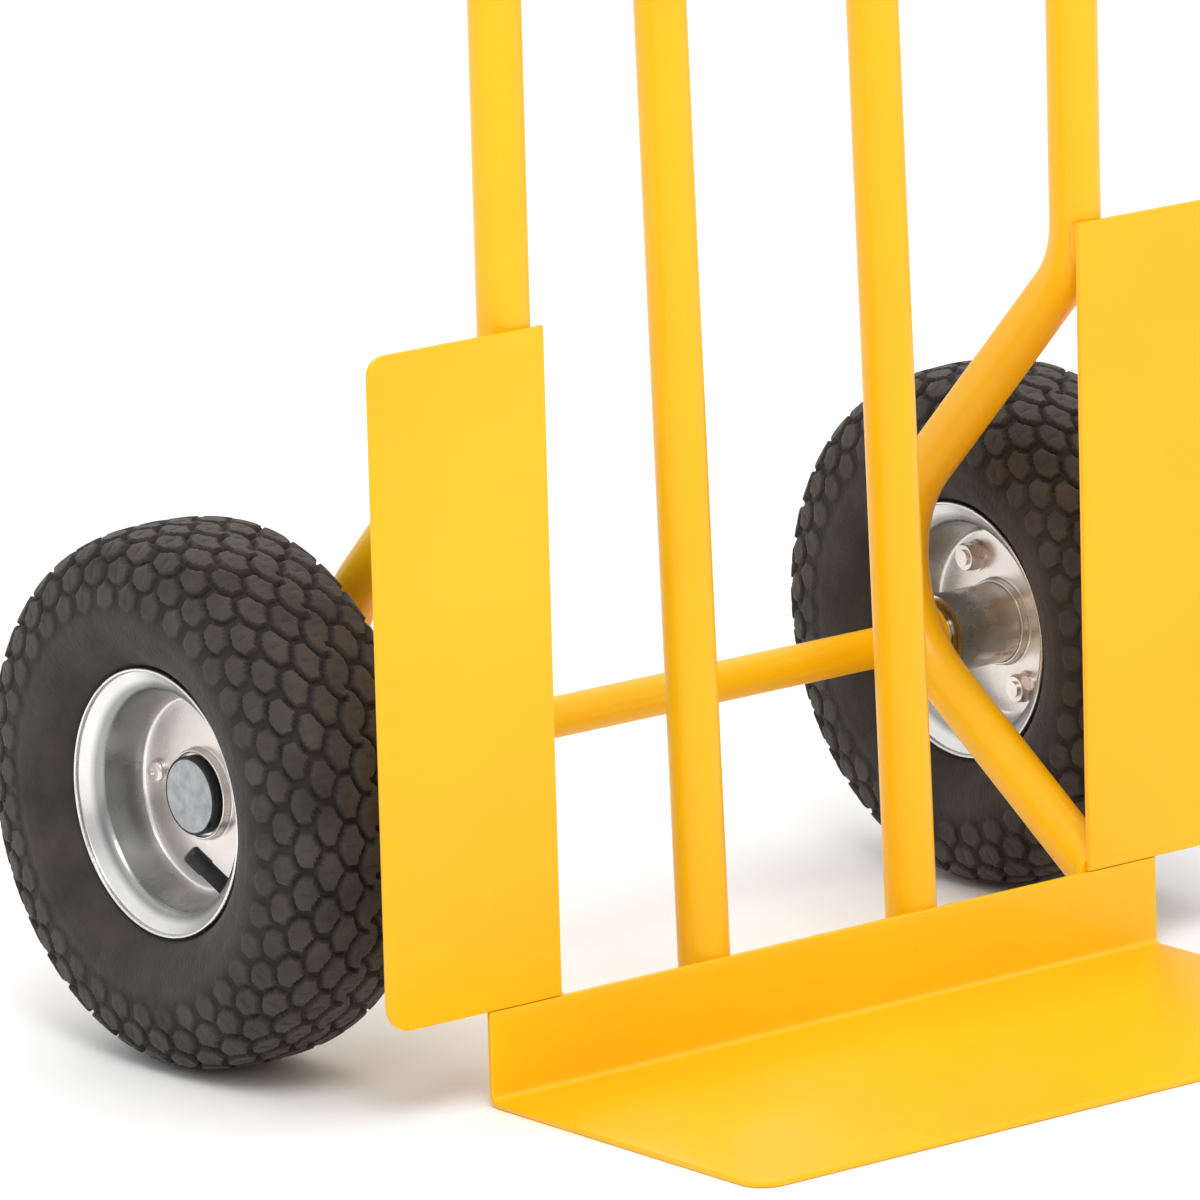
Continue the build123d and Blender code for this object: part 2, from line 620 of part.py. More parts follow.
def wheel_nodes():
    """Every piece that turns with one wheel, along +Z outboard, first bolt on +X."""
    outer_half = rim_half()
    inner_half = mirror(outer_half, Plane.XY)
    stem, valve_cap = valve_parts()
    cup, face = cap_parts()
    at_rim = Pos(0, 0, WHEEL_X)
    return {
        "tyre": [at_rim * tyre()],
        "air_tube": [at_rim * air_tube()],
        "rim_outer_half": [at_rim * (outer_half - valve_hole())],
        "rim_inner_half": [at_rim * inner_half],
        "hub": [hub()],
        "rim_bolts": [loc * rim_bolt() for loc in bolt_places(WHEEL_X)],
        "rim_washers": [loc * rim_washer() for loc in bolt_places(WHEEL_X)],
        "rim_nuts": [loc * rim_nut() for loc in bolt_places(WHEEL_X)],
        "valve_stem": [at_rim * stem],
        "valve_cap": [at_rim * valve_cap],
        "hub_cap": [cup],
        "hub_cap_face": [face],
        "bearing_outer_races": [race(OUTER_RACE_R, RACE_OUTER_R, middle) for middle in BEARINGS],
        "bearing_shields": [shield for middle in BEARINGS for shield in shields(middle)],
    }


def roller_nodes():
    """The balls and cages, which go round the axle between the races."""
    return {
        "bearing_balls": [ball for middle in BEARINGS for ball in balls(middle)],
        "bearing_cages": [cage(middle) for middle in BEARINGS],
    }


def axle_nodes():
    """What stays on the axle, on the right-hand side of the truck."""
    spacer_end = HUB_INNER_X + BEARING_RECESS
    clamped = (BEARINGS[0] + BEARING_WIDTH / 2, BEARINGS[1] - BEARING_WIDTH / 2)
    return {
        "axle_collar": [axle_collar()],
        "axle_spacer": [axle_ring(spacer_end - SPACER_LENGTH, spacer_end, INNER_RACE_R)],
        "bearing_inner_races": [
            Plane((0, AXLE_Y, AXLE_Z), x_dir=(0, 1, 0), z_dir=(1, 0, 0)) * race(BORE_R, INNER_RACE_R, middle)
            for middle in BEARINGS
        ],
        "bearing_distance_tube": [axle_ring(*clamped, INNER_RACE_R)],
        "axle_washer": [axle_ring(CLIP_X - WASHER_THICK, CLIP_X, INNER_RACE_R)],
        "axle_circlip": [circlip()],
    }


# ---------------------------------------------------------------- welds
def bead(part_a, fat_a, part_b, fat_b):
    """Weld metal where two parts meet: the overlap of their thickened outlines, less the parts."""
    return ((fat_a & fat_b) - part_a - part_b).solids()


def bar_rod(sign, extra):
    return rod((0, SIDE_Y, BAR_HEIGHT), (sign * SIDE_TUBE_X, SIDE_Y, BAR_HEIGHT), BAR_OD / 2 + extra)


def cross_bar_welds(sign):
    """Beads on one end of both cross bars and on the inner upright of that side."""
    bow = swept(top_bar_path(), TUBE_R)
    fat_bow = swept(top_bar_path(), TUBE_R + WELD_LEG)
    side = side_rod(sign, 0)
    fat_side = side_rod(sign, WELD_LEG + FIT)
    upright = upright_rod(sign, 0)
    fat_upright = upright_rod(sign, WELD_LEG + FIT)
    bar = bar_rod(sign, 0)
    fat_bar = bar_rod(sign, WELD_LEG)
    return [
        *bead(bow, fat_bow, side, fat_side),
        *bead(bow, fat_bow, upright, fat_upright),
        *bead(bar, fat_bar, side, fat_side),
        *bead(bar, fat_bar, upright, fat_upright),
    ]


def sheet_welds():
    """Beads on the rear of the flange and guard, round the right-hand tubes that stand on them."""
    side = swept(side_path(), TUBE_R)
    fat_side = swept(side_path(), TUBE_R + WELD_LEG)
    upright = upright_rod(1, 0)
    fat_upright = upright_rod(1, WELD_LEG)
    reach = 2 * TUBE_OD
    back = SHEET + WELD_LEG
    right = SIDE_TUBE_X + reach
    foot_low = (SIDE_TUBE_X - reach, SHEET, WELD_LEG + FOLD_RADIUS)
    head_low = (GUARD_INNER_X, SHEET, GUARD_TOP - reach / 2)
    upright_low = (INNER_TUBE_X - reach, SHEET, INNER_TUBE_FOOT + WELD_LEG)
    foot = block(foot_low, (right, back, FLANGE_HEIGHT + reach))
    head = block(head_low, (right, back, GUARD_TOP - WELD_LEG / 2))
    flange = block(upright_low, (INNER_TUBE_X + reach, back, FLANGE_HEIGHT - WELD_LEG / 2))
    return [
        *(foot & fat_side - side).solids(),
        *(head & fat_side - side).solids(),
        *(flange & fat_upright - upright).solids(),
    ]


def axle_weld():
    """The bead between the right side tube's knee and the axle."""
    share = (KNEE_RADIUS + TUBE_R) / AXLE_REACH
    y = KNEE_Y + (AXLE_Y - KNEE_Y) * share
    z = KNEE_Z + (AXLE_Z - KNEE_Z) * share
    reach = TUBE_R * 0.8
    lump = rod((SIDE_TUBE_X - reach, y, z), (SIDE_TUBE_X + reach, y, z), 2 * WELD_LEG)
    return (lump - swept(side_path(), TUBE_R) - along_axle(0, AXLE_HALF, AXLE_R)).solids()


def main():
    os.makedirs("parts", exist_ok=True)

    export("toe_plate", toe_plate())
    export("straight_cross_bar", straight_bar())
    export("bowed_cross_bar", top_bar())
    export("axle", axle())
    plug = foot_plug()
    export("upright_foot_plugs", plug, mirrored(plug))

    pairs = {
        "guard_plate": guard_plate(),
        "side_tube": side_tube(),
        "inner_upright": inner_tube_upright(),
        "handle_grip": grip(),
    }
    for name, solid in pairs.items():
        export(f"right_{name}", solid)
        export(f"left_{name}", mirrored(solid))
    export("cross_bar_welds", *cross_bar_welds(1), *cross_bar_welds(-1))
    for name, solids in {"sheet_welds": sheet_welds(), "axle_welds": axle_weld()}.items():
        export(name, *solids, *[mirrored(solid) for solid in solids])
    for name, solids in axle_nodes().items():
        export(f"right_{name}", *solids)
        export(f"left_{name}", *[mirrored(solid) for solid in solids])

    spinning = {**wheel_nodes(), **roller_nodes()}
    for side, sign, phase in (("right", 1, RIGHT_PHASE), ("left", -1, LEFT_PHASE)):
        place = Plane((0, AXLE_Y, AXLE_Z), x_dir=(0, 1, 0), z_dir=(sign, 0, 0))
        for name, solids in spinning.items():
            export(f"{side}_{name}", *[place * Rot(0, 0, sign * phase) * solid for solid in solids])


main()
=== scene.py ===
# %% [markdown]
# # A hand truck, finished in Blender
# The truck's engineering model is a fixed frame: tubes, sheet metal, axle, wheels and bearings, each
# with its true size and place. This script gives every piece its surface finish. A few pieces have a
# finer skin than an engineering solid shows: the treaded tyres, the ribbed grips and the coated
# sheet. Those are swapped for surfaces worked out with numpy in the same place.

# %% Load the frame and keep its box
import json
import math

import bmesh
import bpy
import numpy as np
from mathutils import Matrix, Vector


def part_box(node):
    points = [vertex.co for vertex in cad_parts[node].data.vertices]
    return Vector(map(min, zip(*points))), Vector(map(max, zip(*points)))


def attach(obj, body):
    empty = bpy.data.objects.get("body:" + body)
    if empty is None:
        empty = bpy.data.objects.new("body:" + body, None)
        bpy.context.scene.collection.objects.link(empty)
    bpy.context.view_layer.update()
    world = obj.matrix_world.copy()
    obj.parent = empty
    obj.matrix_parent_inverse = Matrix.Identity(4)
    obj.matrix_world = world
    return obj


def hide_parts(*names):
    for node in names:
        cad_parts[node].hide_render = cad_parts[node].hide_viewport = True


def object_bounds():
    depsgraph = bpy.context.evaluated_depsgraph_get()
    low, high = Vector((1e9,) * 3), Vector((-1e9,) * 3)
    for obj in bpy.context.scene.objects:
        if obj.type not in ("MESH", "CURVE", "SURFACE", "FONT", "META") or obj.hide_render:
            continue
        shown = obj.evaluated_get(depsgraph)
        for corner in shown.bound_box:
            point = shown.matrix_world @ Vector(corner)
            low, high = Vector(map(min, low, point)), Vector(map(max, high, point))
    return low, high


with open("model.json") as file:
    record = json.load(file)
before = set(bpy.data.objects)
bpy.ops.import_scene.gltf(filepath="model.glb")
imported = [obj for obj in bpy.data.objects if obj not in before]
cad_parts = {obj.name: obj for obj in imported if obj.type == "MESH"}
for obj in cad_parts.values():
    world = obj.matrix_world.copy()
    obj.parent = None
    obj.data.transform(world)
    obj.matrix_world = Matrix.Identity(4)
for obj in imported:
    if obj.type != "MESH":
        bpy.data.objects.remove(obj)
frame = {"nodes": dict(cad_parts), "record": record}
NODES = frame["nodes"]
CAD_BOX = [list(corner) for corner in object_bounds()]

# %% [markdown]
# ## Where the wheels sit
# Both wheels share one axis and have one size. So the right one's tyre and rim give the measures
# that the plated finish and the treaded tyres need: the axis, and how far out a wheel stands.

# %% Measures of a wheel
TYRE_LOW, TYRE_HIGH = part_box("right_tyre")
RIM_LOW, RIM_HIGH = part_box("right_rim_outer_half")
AXLE_Y = (TYRE_LOW.y + TYRE_HIGH.y) / 2
AXLE_Z = (TYRE_LOW.z + TYRE_HIGH.z) / 2
WHEEL_X = (TYRE_LOW.x + TYRE_HIGH.x) / 2
print("axle y", round(AXLE_Y, 4), "z", round(AXLE_Z, 4), "wheel x", round(WHEEL_X, 4))

# %% [markdown]
# ## Camera
# The truck is seen from the front left and a little above, from far away with a long lens, so that
# its upright tubes stay nearly parallel. The camera has a roll of a degree and a half. It aims at a
# point low on the left of the truck, because the view is of the wheels and the toe plate.

# %% Where the camera stands
AZIMUTH = math.radians(38.46)
ELEVATION = math.radians(13.2)
ROLL = math.radians(-1.535)
CAMERA_DISTANCE = 5.5
SENSOR = 36.0
LENS = 355.7
flange_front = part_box("right_guard_plate")[0].y
AIM = Vector((-0.1343, flange_front, 0.2306))

back = Vector((
    -math.sin(AZIMUTH) * math.cos(ELEVATION),
    -math.cos(AZIMUTH) * math.cos(ELEVATION),
    math.sin(ELEVATION),
))
level = Vector((math.cos(AZIMUTH), -math.sin(AZIMUTH), 0))
rise = back.cross(level)
right = level * math.cos(ROLL) + rise * math.sin(ROLL)
print("view direction", [round(-c, 3) for c in back])

# %% The camera itself
camera_data = bpy.data.cameras.new("camera")
camera_data.sensor_width = SENSOR
camera_data.lens = LENS
camera = bpy.data.objects.new("camera", camera_data)
camera.matrix_world = Matrix.Translation(AIM + back * CAMERA_DISTANCE) @ Matrix(
    (right, back.cross(right), back)
).transposed().to_4x4()
camera_data.clip_end = 60
bpy.context.scene.collection.objects.link(camera)
bpy.context.scene.camera = camera
print("camera at", [round(c, 3) for c in camera.matrix_world.translation])

# %% [markdown]
# ## Floor and light
# A product studio is mostly white: a pale floor that runs out of sight, one large soft light in
# front, a weaker one on the other side, and a sky that is brighter overhead than at the horizon.
# The dimmer horizon is what gives bare metal its greys. An even white all round would leave the
# rims looking like paper.

# %% Floor
FLOOR_HALF = 40.0
FLOOR_GAP = 0.0002


def studio_floor():
    """One square, a hair below the lowest point of the truck."""
    z = CAD_BOX[0][2] - FLOOR_GAP
    signs = ((-1, -1), (1, -1), (1, 1), (-1, 1))
    mesh = bpy.data.meshes.new("floor")
    mesh.from_pydata([(x * FLOOR_HALF, y * FLOOR_HALF, z) for x, y in signs], [], [(0, 1, 2, 3)])
    floor = bpy.data.objects.new("floor", mesh)
    bpy.context.scene.collection.objects.link(floor)
    material = bpy.data.materials.new("floor_paper")
    material.use_nodes = True
    shader = material.node_tree.nodes["Principled BSDF"]
    shader.inputs["Base Color"].default_value = (0.93, 0.93, 0.925, 1)
    shader.inputs["Roughness"].default_value = 0.9
    shader.inputs["Specular IOR Level"].default_value = 0.1
    mesh.materials.append(material)


studio_floor()
print("floor half width", FLOOR_HALF, "m")

# %% Lamps
LAMP_AIM = Vector((0, 0, 0.35))


def soft_light(name, place, size, power):
    """A square lamp that points at the middle of the truck's lower half."""
    lamp = bpy.data.lights.new(name, "AREA")
    lamp.size = size
    lamp.energy = power
    light = bpy.data.objects.new(name, lamp)
    light.location = place
    light.rotation_euler = (LAMP_AIM - Vector(place)).to_track_quat("-Z", "Y").to_euler()
    light.visible_camera = False
    bpy.context.scene.collection.objects.link(light)


soft_light("key", (-1.9, -2.3, 4.1), 2.0, 88)
soft_light("fill", (3.4, -2.2, 2.2), 2.5, 14)
soft_light("back", (1.0, 3.6, 3.2), 2.5, 40)

# %% Sky


def sky():
    """World colour: a ramp on the height of the ray, grey at the horizon and white overhead."""
    world = bpy.data.worlds.new("studio")
    world.use_nodes = True
    nodes, links = world.node_tree.nodes, world.node_tree.links
    coords = nodes.new("ShaderNodeTexCoord")
    split = nodes.new("ShaderNodeSeparateXYZ")
    ramp = nodes.new("ShaderNodeValToRGB")
    ramp.color_ramp.elements[0].position = 0.0
    ramp.color_ramp.elements[0].color = (0.36, 0.36, 0.37, 1)
    ramp.color_ramp.elements[1].position = 0.55
    ramp.color_ramp.elements[1].color = (1.0, 1.0, 1.0, 1)
    links.new(coords.outputs["Generated"], split.inputs[0])
    links.new(split.outputs["Z"], ramp.inputs["Fac"])
    links.new(ramp.outputs["Color"], nodes["Background"].inputs["Color"])
    nodes["Background"].inputs["Strength"].default_value = 1.08
    bpy.context.scene.world = world


sky()
bpy.context.scene.view_settings.view_transform = "Standard"
print("world", bpy.context.scene.world.name)

# %% [markdown]
# ## Finishes
# Each finish is a small node tree on Object coordinates, in metres, so a pattern keeps its real
# size on every piece. The helper below makes the shader and gives short names to what is used
# again and again: noise, a colour ramp, a roughness that wanders, and a bump. A class suits this
# because each call adds to the same tree, and the bumps build on one another.

# %% Helper for a finish


class Finish:
    """A material's node tree, with short calls for the few nodes that every finish needs."""

    def __init__(self, name, metallic=0.0, specular=0.5, coat=0.0, coat_roughness=0.1, sheen=0.0):
        self.material = bpy.data.materials.new(name)
        self.material.use_nodes = True
        self.nodes = self.material.node_tree.nodes
        self.links = self.material.node_tree.links
        self.shader = self.nodes["Principled BSDF"]
        self.shader.inputs["Metallic"].default_value = metallic
        self.shader.inputs["Specular IOR Level"].default_value = specular
        self.shader.inputs["Coat Weight"].default_value = coat
        self.shader.inputs["Coat Roughness"].default_value = coat_roughness
        self.shader.inputs["Sheen Weight"].default_value = sheen
        self.coords = self.nodes.new("ShaderNodeTexCoord").outputs["Object"]
        self.height = None

    def noise(self, scale, detail=2.0, vector=None):
        """Soft random values, as many to the metre as the scale says."""
        node = self.nodes.new("ShaderNodeTexNoise")
        node.inputs["Scale"].default_value = scale
        node.inputs["Detail"].default_value = detail
        self.links.new(vector or self.coords, node.inputs["Vector"])
        return node.outputs["Fac"]

    def cells(self, scale):
        """Distance to the nearest of scattered points, for a grain like leather's."""
        node = self.nodes.new("ShaderNodeTexVoronoi")
        node.inputs["Scale"].default_value = scale
        self.links.new(self.coords, node.inputs["Vector"])
        return node.outputs["Distance"]

    def attribute(self, name):
        """A value that the mesh carries at each of its points."""
        node = self.nodes.new("ShaderNodeAttribute")
        node.attribute_name = name
        return node.outputs["Fac"]

    def placed(self, centre, scale):
        """Object coordinates moved so that a centre becomes the origin, then stretched."""
        node = self.nodes.new("ShaderNodeMapping")
        node.inputs["Location"].default_value = [-c * s for c, s in zip(centre, scale)]
        node.inputs["Scale"].default_value = scale
        self.links.new(self.coords, node.inputs["Vector"])
        return node.outputs["Vector"]

    def bands(self, factor, stops):
        """A ramp through several tones, each given as (place, colour)."""
        node = self.nodes.new("ShaderNodeValToRGB")
        elements = node.color_ramp.elements
        elements.remove(elements[1])
        elements[0].position, elements[0].color = stops[0][0], (*stops[0][1], 1)
        for place, tone in stops[1:]:
            elements.new(place).color = (*tone, 1)
        self.links.new(factor, node.inputs["Fac"])
        return node.outputs["Color"]

    def between(self, factor, low, high, start=0.3, end=0.7):
        """A ramp from one tone to another as the factor goes from start to end."""
        return self.bands(factor, [(start, low), (end, high)])

    def from_axle(self):
        """Distance from the wheels' axis, in tenths of a metre."""
        node = self.nodes.new("ShaderNodeVectorMath")
        node.operation = "LENGTH"
        self.links.new(self.placed((0, AXLE_Y, AXLE_Z), (0, 10, 10)), node.inputs[0])
        return node.outputs["Value"]

    def along(self, value):
        """A pattern position that changes with one value only, for rings and bands."""
        node = self.nodes.new("ShaderNodeCombineXYZ")
        self.links.new(value, node.inputs["X"])
        return node.outputs["Vector"]

    def mixed(self, factor, first, second, how="MIX"):
        """Two colours, blended or multiplied by a factor."""
        node = self.nodes.new("ShaderNodeMix")
        node.data_type = "RGBA"
        node.blend_type = how
        for source, name in ((factor, 0), (first, 6), (second, 7)):
            if isinstance(source, (int, float)):
                node.inputs[name].default_value = source
            else:
                self.links.new(source, node.inputs[name])
        return node.outputs[2]

    def colour(self, source):
        """The colour that the surface shows."""
        self.links.new(source, self.shader.inputs["Base Color"])

    def roughness(self, factor, low, high):
        """Roughness that wanders between two values with the factor."""
        node = self.nodes.new("ShaderNodeMapRange")
        node.inputs["To Min"].default_value = low
        node.inputs["To Max"].default_value = high
        self.links.new(factor, node.inputs["Value"])
        self.links.new(node.outputs["Result"], self.shader.inputs["Roughness"])

    def bump(self, source, strength, depth):
        """Adds one layer of relief, its depth in metres, over the layers so far."""
        node = self.nodes.new("ShaderNodeBump")
        node.inputs["Strength"].default_value = strength
        node.inputs["Distance"].default_value = depth
        self.links.new(source, node.inputs["Height"])
        if self.height is not None:
            self.links.new(self.height, node.inputs["Normal"])
        self.height = node.outputs["Normal"]
        self.links.new(self.height, self.shader.inputs["Normal"])


FINISHES = {}
print("finish calls", [call for call in vars(Finish) if not call.startswith("_")])

# %% [markdown]
# ### Yellow powder coat
# Powder coat is a thick, slightly glossy plastic skin. Close up it has orange peel, a soft relief
# of about a millimetre, and its colour drifts a little where the powder lay thicker. A thin clear
# layer on top gives the second, sharper highlight.

# %% Powder coat


def powder_coat():
    """Yellow that drifts by some 200 mm of noise, under orange peel of 1.5 and 6 mm."""
    paint = Finish("yellow_paint", specular=0.28, coat=0.18, coat_roughness=0.14)
    drift = paint.noise(5.0, detail=3.0)
    paint.colour(paint.between(drift, (0.91, 0.468, 0.0012), (0.95, 0.52, 0.0024)))
    paint.roughness(paint.noise(14.0, detail=4.0), 0.3, 0.46)
    paint.bump(paint.noise(650.0), 0.16, 0.0002)
    paint.bump(paint.noise(160.0), 0.1, 0.0003)
    return paint.material


FINISHES["yellow_paint"] = powder_coat()
print("paint nodes", len(FINISHES["yellow_paint"].node_tree.nodes))

# %% [markdown]
# ### Plated and bare steel
# Zinc plate is bright but not polished: its roughness wanders, and it shows faint spangle and a
# warm or cool tint by place. On the rims its tone follows the distance from the axle: a dark band
# on the well is painted shade, and a thin bright ring at the disc's edge is a painted highlight.
# Ground bearing steel is smoother, a spring clip is dark, and the disc on the hub cap is a dull
# blue-grey metal with blotches.

# %% Metals


def plated_steel(name, dark, light, rough, grain=220.0, tint=(0.80, 0.755, 0.72)):
    """Bare metal: noise runs from dark to light, and a third of a warm tint lies over it."""
    metal = Finish(name, metallic=1.0)
    base = metal.between(metal.noise(26.0, detail=3.0), dark, light)
    warm = metal.between(metal.noise(9.0), light, tint, 0.45, 0.7)
    metal.colour(metal.mixed(0.35, base, warm))
    metal.roughness(metal.noise(60.0, detail=4.0), *rough)
    metal.bump(metal.noise(grain, detail=3.0), 0.06, 0.0002)
    metal.bump(metal.noise(1500.0), 0.04, 0.0001)
    return metal.material


def zinc_plate():
    """Plated steel toned by distance from the axle: hub, disc, ring, well, flange; the well's dark band
    is painted shade, the disc-edge ring a painted highlight.
    """
    metal = Finish("zinc_plate", metallic=1.0)
    radius = metal.from_axle()
    # Painted light in the tones by radius: the dark band from 0.482 to 0.555 on the well is painted
    # shade, and the 0.95 ring at 0.462, on the disc's edge, is a painted highlight.
    radial_tones_painted_shade_and_highlight = metal.bands(radius, [
        (0.0, (0.84, 0.81, 0.77)),
        (0.215, (0.82, 0.79, 0.75)),
        (0.25, (0.84, 0.77, 0.72)),
        (0.42, (0.78, 0.72, 0.7)),
        (0.462, (0.95, 0.94, 0.93)),
        (0.482, (0.45, 0.45, 0.445)),
        (0.555, (0.38, 0.395, 0.39)),
        (0.585, (0.9, 0.9, 0.89)),
        (0.65, (0.93, 0.93, 0.92)),
    ])
    spangle = metal.between(metal.noise(26.0, detail=3.0), (0.82, 0.8, 0.79), (1.0, 1.0, 0.99))
    metal.colour(metal.mixed(1.0, radial_tones_painted_shade_and_highlight, spangle, "MULTIPLY"))
    metal.roughness(metal.noise(60.0, detail=4.0), 0.2, 0.36)
    metal.bump(metal.noise(60.0, detail=2.0, vector=metal.along(radius)), 0.05, 0.0003)
    metal.bump(metal.noise(220.0, detail=3.0), 0.05, 0.0002)
    return metal.material


def cap_disc_metal():
    """Half-metal grey: blotches of about 6 mm, with a fine grain."""
    metal = Finish("cap_metal", metallic=0.55, specular=0.5)
    blotches = metal.noise(170.0, detail=5.0)
    metal.colour(metal.between(blotches, (0.34, 0.36, 0.37), (0.5, 0.52, 0.53), 0.35, 0.68))
    metal.roughness(metal.noise(300.0), 0.38, 0.6)
    metal.bump(metal.noise(900.0, detail=3.0), 0.15, 0.0001)
    return metal.material


BARE_STEELS = {
    "bearing_steel": ((0.55, 0.55, 0.55), (0.7, 0.7, 0.7), (0.12, 0.2)),
    "spring_steel": ((0.1, 0.1, 0.105), (0.18, 0.18, 0.19), (0.3, 0.45)),
    "cage_steel": ((0.4, 0.39, 0.37), (0.5, 0.49, 0.46), (0.3, 0.4)),
}
FINISHES["zinc_plate"] = zinc_plate()
for steel, (dark, light, rough) in BARE_STEELS.items():
    FINISHES[steel] = plated_steel(steel, dark, light, rough)
FINISHES["cap_metal"] = cap_disc_metal()
print("finishes so far", list(FINISHES))

# %% [markdown]
# ### Rubber and plastic
# Tyre rubber is a dusty brown-grey, never black: lightest on the worn block tops. The grooves are
# coloured near black as painted shade. The tyre carries an attribute called block, 1 on a block's
# top and 0 in a groove, and the colour follows it, so the attribute also places the painted shade.
# Grips are soft vinyl with a fine leather grain.

# %% Rubbers and plastics


def tyre_rubber():
    """Painted groove shade, near black, to dusty brown-grey by the block attribute, under three sizes of
    grain.
    """
    rubber = Finish("tyre_rubber", specular=0.32, sheen=0.08)
    wear = rubber.noise(38.0, detail=5.0)
    dust = rubber.between(wear, (0.026, 0.0215, 0.019), (0.056, 0.046, 0.039))
    # Painted shade: the grooves get a near-black tone, darker than the rubber itself.
    groove = rubber.between(rubber.noise(90.0), (0.011, 0.009, 0.008), (0.022, 0.018, 0.016))
    rubber.colour(rubber.mixed(rubber.attribute("block"), groove, dust))
    rubber.roughness(rubber.noise(120.0, detail=3.0), 0.62, 0.86)
    rubber.bump(rubber.noise(130.0, detail=3.0), 0.5, 0.0016)
    rubber.bump(rubber.noise(420.0, detail=4.0), 0.5, 0.0007)
    rubber.bump(rubber.noise(1500.0, detail=2.0), 0.35, 0.0003)
    return rubber.material


def moulded(name, dark, light, rough, grain, relief):
    """Plastic or rubber from a mould: leather grain, so many cells to the metre, over fine noise."""
    plastic = Finish(name, specular=0.4)
    plastic.colour(plastic.between(plastic.noise(30.0, detail=3.0), dark, light))
    plastic.roughness(plastic.noise(200.0), *rough)
    plastic.bump(plastic.cells(grain), relief, 0.0002)
    plastic.bump(plastic.noise(grain * 2), relief * 0.5, 0.0001)
    return plastic.material


MOULDED = {
    "tube_rubber": ((0.012, 0.012, 0.012), (0.02, 0.02, 0.02), (0.6, 0.8), 900, 0.2),
    "valve_rubber": ((0.009, 0.008, 0.008), (0.02, 0.018, 0.017), (0.5, 0.7), 700, 0.2),
    "black_plastic": ((0.008, 0.008, 0.009), (0.016, 0.016, 0.017), (0.35, 0.5), 1200, 0.1),
    "black_grip": ((0.014, 0.014, 0.015), (0.026, 0.026, 0.027), (0.5, 0.68), 1400, 0.45),
}
FINISHES["tyre_rubber"] = tyre_rubber()
for name, look in MOULDED.items():
    FINISHES[name] = moulded(name, *look)
print("finishes", list(FINISHES))

# %% [markdown]
# ### A finish for every piece
# The engineering record gives each node a material, and each material has one finish here. The
# bearings, air tubes and spacers get theirs too, although they are hidden inside the wheels.

# %% Finishes onto the nodes
SLOT_OF = {part["node"]: part["material_slot"] for part in frame["record"]["subparts"]}
for node_name, node in NODES.items():
    node.data.materials.clear()
    node.data.materials.append(FINISHES[SLOT_OF[node_name]])
print(len(FINISHES), "finishes on", len(NODES), "nodes")

# %% [markdown]
# ## Surfaces from grids
# Every new piece is a grid of points: one direction goes round or along, the other across. The
# helper joins neighbouring points into four-sided faces, turns the skin the right way out by the
# sign of the volume it encloses, and closes poles by merging the points that coincide there.

# %% Grid helper
SHARP_ANGLE = math.radians(38)


def signed_volume(points, faces):
    """Six times the volume that the faces enclose, summed face by face. Only its sign is used."""
    a, b, c, d = (points[faces[:, k]] for k in range(4))
    return (np.cross(a, b) * c).sum() + (np.cross(a, c) * d).sum()


def grid_faces(rows, columns, close_rows, close_columns):
    """Corner numbers of the faces of a grid that may wrap round in either direction."""
    v, u = np.meshgrid(
        np.arange(rows if close_rows else rows - 1),
        np.arange(columns if close_columns else columns - 1),
        indexing="ij",
    )
    v, u = v.ravel(), u.ravel()
    v2, u2 = (v + 1) % rows, (u + 1) % columns
    return np.stack([v * columns + u, v * columns + u2, v2 * columns + u2, v2 * columns + u], axis=1)


def skin(name, points, faces):
    """A mesh whose faces point outward: they are turned round if the signed volume is negative."""
    if signed_volume(points - points.mean(axis=0), faces) < 0:
        faces = faces[:, ::-1]
    mesh = bpy.data.meshes.new(name)
    mesh.from_pydata(points, [], faces.tolist())
    return mesh


def piece_from(mesh, slot, body, replaced):
    """Puts a mesh in the scene with its finish, on its body, in place of the plain node."""
    mesh.materials.append(FINISHES[slot])
    piece = bpy.data.objects.new(mesh.name, mesh)
    bpy.context.scene.collection.objects.link(piece)
    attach(piece, body)
    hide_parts(replaced)
    print(mesh.name, len(mesh.polygons), "faces")


def surface(name, grid, slot, body, replaced, values=None, ring=True):
    """A piece from a grid [row, column, xyz]. Columns go round. Rows form a ring, or end in poles."""
    rows, columns, _ = grid.shape
    mesh = skin(name, grid.reshape(-1, 3), grid_faces(rows, columns, ring, True))
    for key, numbers in (values or {}).items():
        layer = mesh.attributes.new(key, "FLOAT", "POINT")
        layer.data.foreach_set("value", numbers.astype(np.float32))
    work = bmesh.new()
    work.from_mesh(mesh)
    bmesh.ops.remove_doubles(work, verts=work.verts, dist=1e-6)
    work.to_mesh(mesh)
    work.free()
    mesh.shade_smooth()
    mesh.set_sharp_from_angle(angle=SHARP_ANGLE)
    piece_from(mesh, slot, body, replaced)


print("edges sharper than", round(math.degrees(SHARP_ANGLE)), "degrees stay sharp")

# %% [markdown]
# ## Tyres
# The tyre is a treaded pneumatic one: six rows of blocks on each side of the crown, laid like fish
# scales. Each row's outer edge is a string of arcs, and each row is half a block out of step with
# the last, so that the grooves between blocks run in curves and the shoulder has a stepped outline.
# Modelling over 400 blocks one by one would be slow and heavy. It is easier to see the whole tread
# as one smooth skin, and to say for each point on it how far it lies from the nearest groove: that
# distance gives the height.

# %% Size of the casing
TYRE_R = (TYRE_HIGH.z - TYRE_LOW.z) / 2
HALF_TYRE = (TYRE_HIGH.x - TYRE_LOW.x) / 2
RIM_R = (RIM_HIGH.z - RIM_LOW.z) / 2
RIM_HALF = RIM_HIGH.x - WHEEL_X
SIDEWALL = TYRE_R - RIM_R
TYRE_AROUND = 640
TREAD_STEP = 0.00125
TREAD_REACH = 0.067
print("tyre radius", round(TYRE_R, 4), "half width", round(HALF_TYRE, 4), "rim", round(RIM_R, 4))

# %% Curve through points


